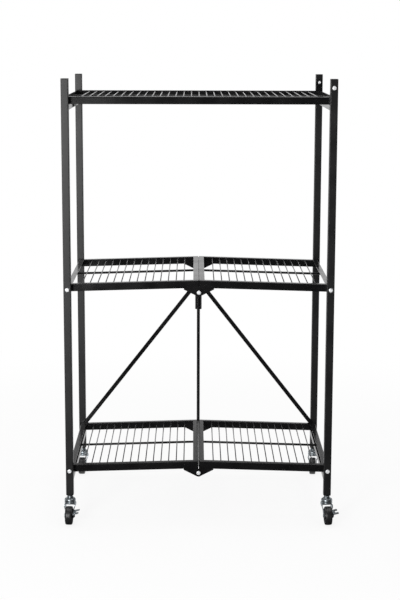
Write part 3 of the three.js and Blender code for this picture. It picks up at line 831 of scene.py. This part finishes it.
def addLinkRod():
    s = linkSizes
    low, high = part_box("link_rod")
    at = middleOf("link_rod")
    radius, tip = s["rod"] * mm, s["rodTip"] * mm
    rounding = [(0, 0), (0.55 * radius, 0.1 * tip), (0.85 * radius, 0.4 * tip), (radius, tip)]
    profile = [(a, low.z + b) for a, b in rounding] + [(a, high.z - b) for a, b in reversed(rounding)]
    rod = pieceOf("link_rod_bar", latheMesh(profile, s["rodSides"], "Z", (at.x, at.y, 0)), railCoat)
    cutters = []
    bore, reach = s["pinHole"] * mm, 1.5 * radius
    for level in ("middle", "bottom"):
        spot = middleOf(f"{level}_back_centre_pin")
        hole = latheMesh([(bore, -reach), (bore, reach)], s["pinHoleSides"], "Y", (spot.x, at.y, spot.z))
        cutter = pieceOf("cutter", hole)
        cut = rod.modifiers.new("hole", "BOOLEAN")
        cut.operation = "DIFFERENCE"
        cut.solver = "EXACT"
        cut.object = cutter
        cutters.append(cutter)
    settled(rod)
    for cutter in cutters:
        bpy.data.objects.remove(cutter)
    smoothShaded(rod.data, angle=40)
    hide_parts("link_rod")
    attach(rod, "link_rod")


# The sleeve's tube and, in front of it, the plate of its two ears.
def addSleeve():
    s = linkSizes
    low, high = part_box("brace_sleeve")
    at = middleOf("link_rod")
    outer, bore, edge = s["sleeve"] * mm, s["bore"] * mm, s["sleeveEdge"] * mm
    profile = [(bore, low.z), *roundedEnd(outer, edge, low.z, 1),
               *reversed(roundedEnd(outer, edge, high.z, -1)), (bore, high.z)]
    tube = latheMesh(profile, s["sleeveSides"], "Z", (at.x, at.y, 0), ring=True)
    earHeight = high.z - s["earDrop"] * mm
    earFront = at.y - s["earFront"] * mm
    outline = []
    for centreX, start in ((s["earX"], -90), (-s["earX"], 90)):
        for step in range(s["earSteps"] + 1):
            turn = math.radians(start + 180 * step / s["earSteps"])
            outline.append((centreX + s["earRadius"] * math.cos(turn), s["earRadius"] * math.sin(turn)))
    loops = [[Vector((at.x + a * mm, y, earHeight + b * mm)) for a, b in outline]
             for y in (earFront, earFront + s["earSheet"] * mm)]
    ears = loftMesh(loops)
    piece = pieceOf("brace_sleeve_tube", joinedMesh([tube, ears]), railCoat)
    softened(piece, s["edge"] * mm, angle=50)
    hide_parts("brace_sleeve")
    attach(piece, "brace_sleeve")


addLinkRod()
addSleeve()
for side in ("left", "right"):
    brace = edgedCopy(f"{side}_brace", f"{side}_brace_bar", railCoat,
                      linkSizes["braceEdge"] * mm, angle=50)
    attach(brace, f"{side}_brace")
print("link made")


# Casters

casterSizes = {
    "wheel": 32, "tread": 22, "round": 2.4, "roundAcross": 7, "hub": 10, "rim": 23, "web": 4,
    "axle": 4, "axleHead": 6.5, "axleHeadHeight": 2, "axleHeadEdge": 0.5, "trail": 30, "gap": 0.3,
    "clear": 25, "sheet": 2.2, "endRadius": 10.5, "knee": 49, "shoulder": 60, "archBend": 4, "arch": 68.7,
    "footHalf": 0.2, "wideFrom": 62.7, "backExtra": 1, "forkEdge": 0.35,
    "rib": 1.1, "ribWidth": 0.2, "ribFade": 5, "ribFrom": 36, "ribTo": 59,
    "crown": 19.5, "forkInset": 0.4, "crownFoot": 68.9, "crownEdge": 82, "crownTop": 94.8,
    "neck": 9, "stem": 5, "stemTop": 130, "brakeSheet": 2.5, "brakeEdge": 0.5,
}
casterSteps = {
    "footArc": 8, "archArc": 6, "forkAcross": 14, "treadArc": 8, "round": 72, "head": 56, "shaft": 24,
}

# Where the tread meets the core: how far out from the rim and how far in from the tread's side.
treadLip = [(0, 0.6), (0.4, 0.1), (1.2, 0)]

# The swivel head from below: how far in from its rim and how far up from its foot or its edge, then how
# far out from the neck and how far below the top.
headProfile = {
    "fromFoot": [(1.6, 0), (0.5, 0.4), (0, 1.4), (0, 3.6), (0.6, 4.4), (1.8, 5.2), (1.8, 6.6), (0.8, 7.2),
                 (0.1, 8.4), (0, 9.8)],
    "fromEdge": [(0.2, -1.4), (0.9, 0.6), (2.1, 2.1), (3.4, 2.8), (4.8, 2.6), (5.9, 3.2), (7, 5.4)],
    "neck": [(1.6, 4), (0.6, 1.8), (0, 0.6), (-0.6, 0)],
}


# The bent strip's middle surface in front view, from one leg's foot over the arch to the other's.
def forkPath():
    c = casterSizes
    half, bend = c["sheet"] / 2, c["archBend"]
    leg, wide = c["clear"] / 2 + half, c["crown"] - half - c["forkInset"]
    foot = c["wheel"] - c["endRadius"]
    path = []
    for step in range(casterSteps["footArc"] + 1):
        turn = math.pi / 2 * step / casterSteps["footArc"]
        path.append((-leg, foot + c["endRadius"] * (1 - math.cos(turn))))
    # Points just before and after each bend keep its curve short.
    path += [(-leg, c["wheel"] + 6), (-leg, c["knee"] - 2), (-leg - 0.15, c["knee"] + 1)]
    path += [(-wide + 0.3, c["shoulder"] - 1.5), (-wide, c["shoulder"] + 1), (-wide, c["arch"] - bend - 3)]
    for step in range(casterSteps["archArc"] + 1):
        turn = math.pi / 2 * step / casterSteps["archArc"]
        path.append((-wide + bend * (1 - math.cos(turn)), c["arch"] - half - bend + bend * math.sin(turn)))
    path += [(-8, c["arch"] - half), (-3, c["arch"] - half)]
    return path + [(-x, z) for x, z in reversed(path)]


# The strip's reach in y at a height: round at the axle, widening up to the crown.
def forkReach(height):
    c = casterSizes
    axle, end, wide = -c["trail"], c["endRadius"], c["crown"] - c["sheet"]
    if height <= c["wheel"]:
        half = math.sqrt(max(end ** 2 - (c["wheel"] - height) ** 2, c["footHalf"] ** 2))
        return axle - half, axle + half
    share = min(1, (height - c["wheel"]) / (c["wideFrom"] - c["wheel"]))
    back = wide + c["backExtra"]
    return (1 - share) * (axle - end) - share * wide, (1 - share) * (axle + end) + share * back


# A pressed rib down the middle of each leg stiffens it and catches the light.
def forkMesh():
    c = casterSizes
    across = casterSteps["forkAcross"]
    points, faces = [], []
    path = forkPath()
    for x, z in path:
        near, far = forkReach(z)
        fade = max(0, min(1, (z - c["ribFrom"]) / c["ribFade"], (c["ribTo"] - z) / c["ribFade"]))
        for step in range(across + 1):
            share = step / across
            rib = c["rib"] * fade * max(0, 1 - ((share - 0.5) / c["ribWidth"]) ** 2)
            y = near + share * (far - near)
            points.append(((x + math.copysign(rib, x)) * mm, y * mm, z * mm))
    for row in range(len(path) - 1):
        for step in range(across):
            a = row * (across + 1) + step
            faces.append([a, a + 1, a + across + 2, a + across + 1])
    mesh = bpy.data.meshes.new("fork")
    mesh.from_pydata(points, [], faces)
    return mesh


# The swivel head: the upper race pressed over the lower one, a coned top and the stem.
def crownMesh():
    c = casterSizes
    profile = [(0, c["crownFoot"])]
    profile += [(c["crown"] - inset, c["crownFoot"] + rise) for inset, rise in headProfile["fromFoot"]]
    profile += [(c["crown"] - inset, c["crownEdge"] + rise) for inset, rise in headProfile["fromEdge"]]
    profile += [(c["neck"] + flare, c["crownTop"] - drop) for flare, drop in headProfile["neck"]]
    profile += [(c["stem"], c["crownTop"]), (c["stem"], c["stemTop"] - 1),
                (c["stem"] - 1, c["stemTop"]), (0, c["stemTop"])]
    return latheMesh([(a * mm, b * mm) for a, b in profile], casterSteps["head"], "Z")


def addForkAndHead(name, swivel):
    c = casterSizes
    fork = pieceOf(f"{name}_fork_strip", forkMesh(), casterZinc)
    thick = fork.modifiers.new("sheet", "SOLIDIFY")
    thick.thickness = c["sheet"] * mm
    thick.offset = 0
    thick.use_even_offset = True
    settled(fork)
    outward(fork.data)
    fork.data.transform(swivel)
    softened(fork, c["forkEdge"] * mm, angle=50)
    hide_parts(f"{name}_caster_fork")
    crown = pieceOf(f"{name}_swivel_head", crownMesh(), casterZinc)
    crown.data.transform(swivel)
    smoothShaded(crown.data, angle=40)
    for piece in (fork, crown):
        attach(piece, f"{name}_fork")


# The axle with its two six-sided heads. On a braked caster the right one lies over the lever.
def addAxle(name, axle, braked):
    c = casterSizes
    sink = 2 * c["gap"]
    legOuter = c["clear"] / 2 + c["sheet"]
    rightFace = legOuter + (c["gap"] + c["brakeSheet"] if braked else 0) + c["gap"]
    heads = []
    for start, end in ((-legOuter - c["axleHeadHeight"], -legOuter + sink),
                       (rightFace if braked else legOuter - sink, rightFace + c["axleHeadHeight"])):
        low, high = start * mm, end * mm
        r, edge = c["axleHead"] * mm, c["axleHeadEdge"] * mm
        heads.append(latheMesh([(0, low), (0.86 * r, low), (r, low + edge), (r, high - edge),
                                (0.86 * r, high), (0, high)], sides=6, axis="X"))
    near, far = -legOuter * mm, (rightFace + c["gap"]) * mm
    shaft = latheMesh([(0, near), (c["axle"] * mm, near), (c["axle"] * mm, far), (0, far)],
                      casterSteps["shaft"], "X")
    smoothShaded(shaft, angle=40)
    bolt = pieceOf(f"{name}_axle", joinedMesh(heads + [shaft]), casterZinc)
    bolt.data.transform(axle)
    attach(bolt, f"{name}_fork")


# Mirrors half a ring's profile, given as radius and distance from the wheel's middle, and turns it.
def wheelRing(half, axle):
    profile = half + [(radius, -along) for radius, along in reversed(half)]
    ring = latheMesh([(radius * mm, along * mm) for radius, along in profile], casterSteps["round"], "X",
                     ring=True)
    ring.transform(axle)
    return smoothShaded(ring, angle=40)


def addWheel(name, axle):
    c = casterSizes
    half, rim, arc = c["tread"] / 2, c["rim"], casterSteps["treadArc"]
    treadHalf = [(rim + up, half - inset) for up, inset in treadLip]
    for step in range(arc + 1):
        turn = math.pi / 2 * step / arc
        treadHalf.append((c["wheel"] - c["round"] * (1 - math.sin(turn)),
                          half - c["roundAcross"] * (1 - math.cos(turn))))
    tread = pieceOf(f"{name}_tread", wheelRing(treadHalf, axle), wheelTread)
    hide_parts(f"{name}_caster_wheel")
    hub, hubEnd, web = c["hub"], c["clear"] / 2 - c["gap"], half - c["web"]
    coreHalf = [(c["axle"] + c["gap"], hubEnd), (hub - 0.6, hubEnd), (hub, hubEnd - 0.6),
                (hub + 0.7, web + 1), (hub + 2, web), (rim - 3, web), (rim - 1.6, web + 0.8),
                (rim - 1, half - 1), (rim + 0.1, half - 0.6)]
    core = pieceOf(f"{name}_wheel_core", wheelRing(coreHalf, axle), wheelCore)
    for piece in (tread, core):
        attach(piece, f"{name}_wheel")


# A caster stands swivelled as its CAD wheel lies round its post. The front ones have a brake lever.
def addCaster(side, depth):
    name = f"{side}_{depth}"
    post = corners[side, depth]
    offset = middleOf(f"{name}_caster_wheel") - post
    turn = math.atan2(offset.x, -offset.y)
    swivel = Matrix.Translation((post.x, post.y, 0)) @ Matrix.Rotation(turn, 4, "Z")
    axle = swivel @ Matrix.Translation((0, -casterSizes["trail"] * mm, casterSizes["wheel"] * mm))
    braked = depth == "front"
    addForkAndHead(name, swivel)
    addAxle(name, axle, braked)
    addWheel(name, axle)
    if braked:
        lever = edgedCopy(f"{name}_caster_brake", f"{name}_brake_lever", casterZinc,
                          casterSizes["brakeEdge"] * mm)
        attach(lever, f"{name}_brake")


for side, depth in corners:
    addCaster(side, depth)
print("casters made")


# Stage: floor, world, lights and camera

stageLook = {
    "floor": "#f4f4f4", "floorReach": 30, "shadowShare": 0.13, "whiteFrom": 0.9, "whiteTo": 2.6,
    "worldFill": 0.45, "darkSide": 0.03, "mirroredFloor": 0.8, "floorDarkTo": -0.3, "floorBrightFrom": -0.05,
    "wallDarkTo": -0.25, "wallBrightFrom": 0.35, "wallTop": 0.19, "wallFade": 0.28, "aboveWall": 0.2,
}


# Goes softly from one value to another while the driving value passes its range.
def softRise(tree, value, fromLow, fromHigh, toLow, toHigh):
    return addNode(tree, "ShaderNodeMapRange", {"interpolation_type": "SMOOTHSTEP"}, {
        "Value": value, "From Min": fromLow, "From Max": fromHigh, "To Min": toLow, "To Max": toHigh,
    }).outputs[0]


def mathOf(tree, operation, first, second):
    return addNode(tree, "ShaderNodeMath", {"operation": operation}, {0: first, 1: second}).outputs[0]


# The eye sees the floor nearly white, with a share of the rack's shadow round its middle. Mirrored rays
# see it dark in front of the rack and bright behind it.
def addFloor():
    reach = stageLook["floorReach"]
    mesh = bpy.data.meshes.new("floor")
    mesh.from_pydata([(-reach, -reach, 0), (reach, -reach, 0), (reach, reach, 0), (-reach, reach, 0)],
                     [], [(0, 1, 2, 3)])
    finish = bpy.data.materials.new("pale studio floor")
    finish.use_nodes = True
    tree = finish.node_tree
    tree.nodes.clear()
    path = addNode(tree, "ShaderNodeLightPath")
    where = addNode(tree, "ShaderNodeTexCoord").outputs["Object"]
    lit = addNode(tree, "ShaderNodeBsdfDiffuse", None, {"Color": linearColour(stageLook["floor"])})
    white = addNode(tree, "ShaderNodeEmission", None, {"Color": (1, 1, 1, 1), "Strength": 1.0})
    away = addNode(tree, "ShaderNodeVectorMath", {"operation": "LENGTH"}, {0: where})
    whiteShare = softRise(tree, away.outputs["Value"], stageLook["whiteFrom"], stageLook["whiteTo"],
                          1 - stageLook["shadowShare"], 1.0)
    seen = mathOf(tree, "MAXIMUM", path.outputs["Is Camera Ray"], path.outputs["Is Transmission Ray"])
    share = mathOf(tree, "MULTIPLY", seen, whiteShare)
    direct = addNode(tree, "ShaderNodeMixShader", None, {0: share, 1: lit.outputs[0], 2: white.outputs[0]})
    parts = addNode(tree, "ShaderNodeSeparateXYZ", None, {0: where})
    depth = softRise(tree, parts.outputs["Y"], stageLook["floorDarkTo"], stageLook["floorBrightFrom"],
                     stageLook["darkSide"], stageLook["mirroredFloor"])
    mirrored = addNode(tree, "ShaderNodeEmission", None, {"Color": (1, 1, 1, 1), "Strength": depth})
    mix = addNode(tree, "ShaderNodeMixShader", None, {
        0: path.outputs["Is Glossy Ray"], 1: direct.outputs[0], 2: mirrored.outputs[0],
    })
    addNode(tree, "ShaderNodeOutputMaterial", None, {"Surface": mix.outputs[0]})
    floor = pieceOf("floor", mesh, finish)


# White for the eye. Mirrored rays see a white wall behind the rack and a dark room in front of it.
def addWorld():
    world = bpy.data.worlds.new("studio")
    bpy.context.scene.world = world
    world.use_nodes = True
    tree = world.node_tree
    tree.nodes.clear()
    path = addNode(tree, "ShaderNodeLightPath")
    where = addNode(tree, "ShaderNodeTexCoord").outputs["Generated"]
    parts = addNode(tree, "ShaderNodeSeparateXYZ", None, {0: where})
    behind = softRise(tree, parts.outputs["Y"], stageLook["wallDarkTo"], stageLook["wallBrightFrom"],
                      stageLook["darkSide"], 1.0)
    height = softRise(tree, parts.outputs["Z"], stageLook["wallTop"], stageLook["wallFade"],
                      1.0, stageLook["aboveWall"])
    wall = mathOf(tree, "MULTIPLY", behind, height)
    mirrored = addNode(tree, "ShaderNodeMix", None, {
        0: path.outputs["Is Glossy Ray"], 2: stageLook["worldFill"], 3: wall,
    })
    direct = mathOf(tree, "MAXIMUM", path.outputs["Is Camera Ray"], path.outputs["Is Transmission Ray"])
    level = addNode(tree, "ShaderNodeMix", None, {0: direct, 2: mirrored.outputs[0], 3: 1.0})
    sky = addNode(tree, "ShaderNodeBackground", None, {"Color": (1, 1, 1, 1), "Strength": level.outputs[0]})
    addNode(tree, "ShaderNodeOutputWorld", None, {"Surface": sky.outputs[0]})


def addLight(name, place, target, size, power):
    light = bpy.data.lights.new(name, "AREA")
    light.shape = "RECTANGLE"
    light.size, light.size_y = size
    light.energy = power
    lamp = bpy.data.objects.new(name, light)
    lamp.location = place
    lamp.rotation_euler = (Vector(target) - Vector(place)).to_track_quat("-Z", "Y").to_euler()
    bpy.context.scene.collection.objects.link(lamp)


# Each light's place and target, its width and height, and its power.
lightPlan = {
    "overhead softbox": ((0, 0.3, 3.4), (0, 0, 0.8), (3.2, 2.6), 60),
    "front left softbox": ((-1.85, -4.3, 1.3), (-0.4, 0, 0.9), (0.9, 2.3), 130),
}
cameraPlan = {
    "place": (-0.01613, -5.0816, 1.66418), "yaw": -0.234, "pitch": 9.825, "roll": 0.137,
    "lens": 86.386, "sensor": 36, "shiftY": -0.02538, "farthest": 200,
}


def addCamera():
    c = cameraPlan
    lens = bpy.data.cameras.new("camera")
    lens.sensor_fit = "AUTO"
    lens.sensor_width = c["sensor"]
    lens.lens = c["lens"]
    lens.shift_y = c["shiftY"]
    lens.clip_end = c["farthest"]
    camera = bpy.data.objects.new("camera", lens)
    place = Vector(c["place"]) + Vector((rackMiddle.x, rackMiddle.y, 0))
    camera.matrix_world = (Matrix.Translation(place) @ Matrix.Rotation(math.radians(c["yaw"]), 4, "Z")
                           @ Matrix.Rotation(math.radians(90 - c["pitch"]), 4, "X")
                           @ Matrix.Rotation(math.radians(c["roll"]), 4, "Z"))
    bpy.context.scene.collection.objects.link(camera)
    bpy.context.scene.camera = camera


addFloor()
addWorld()
for name, (place, target, size, power) in lightPlan.items():
    addLight(name, place, target, size, power)
addCamera()
bpy.context.scene.view_settings.view_transform = "Standard"
print("stage made")
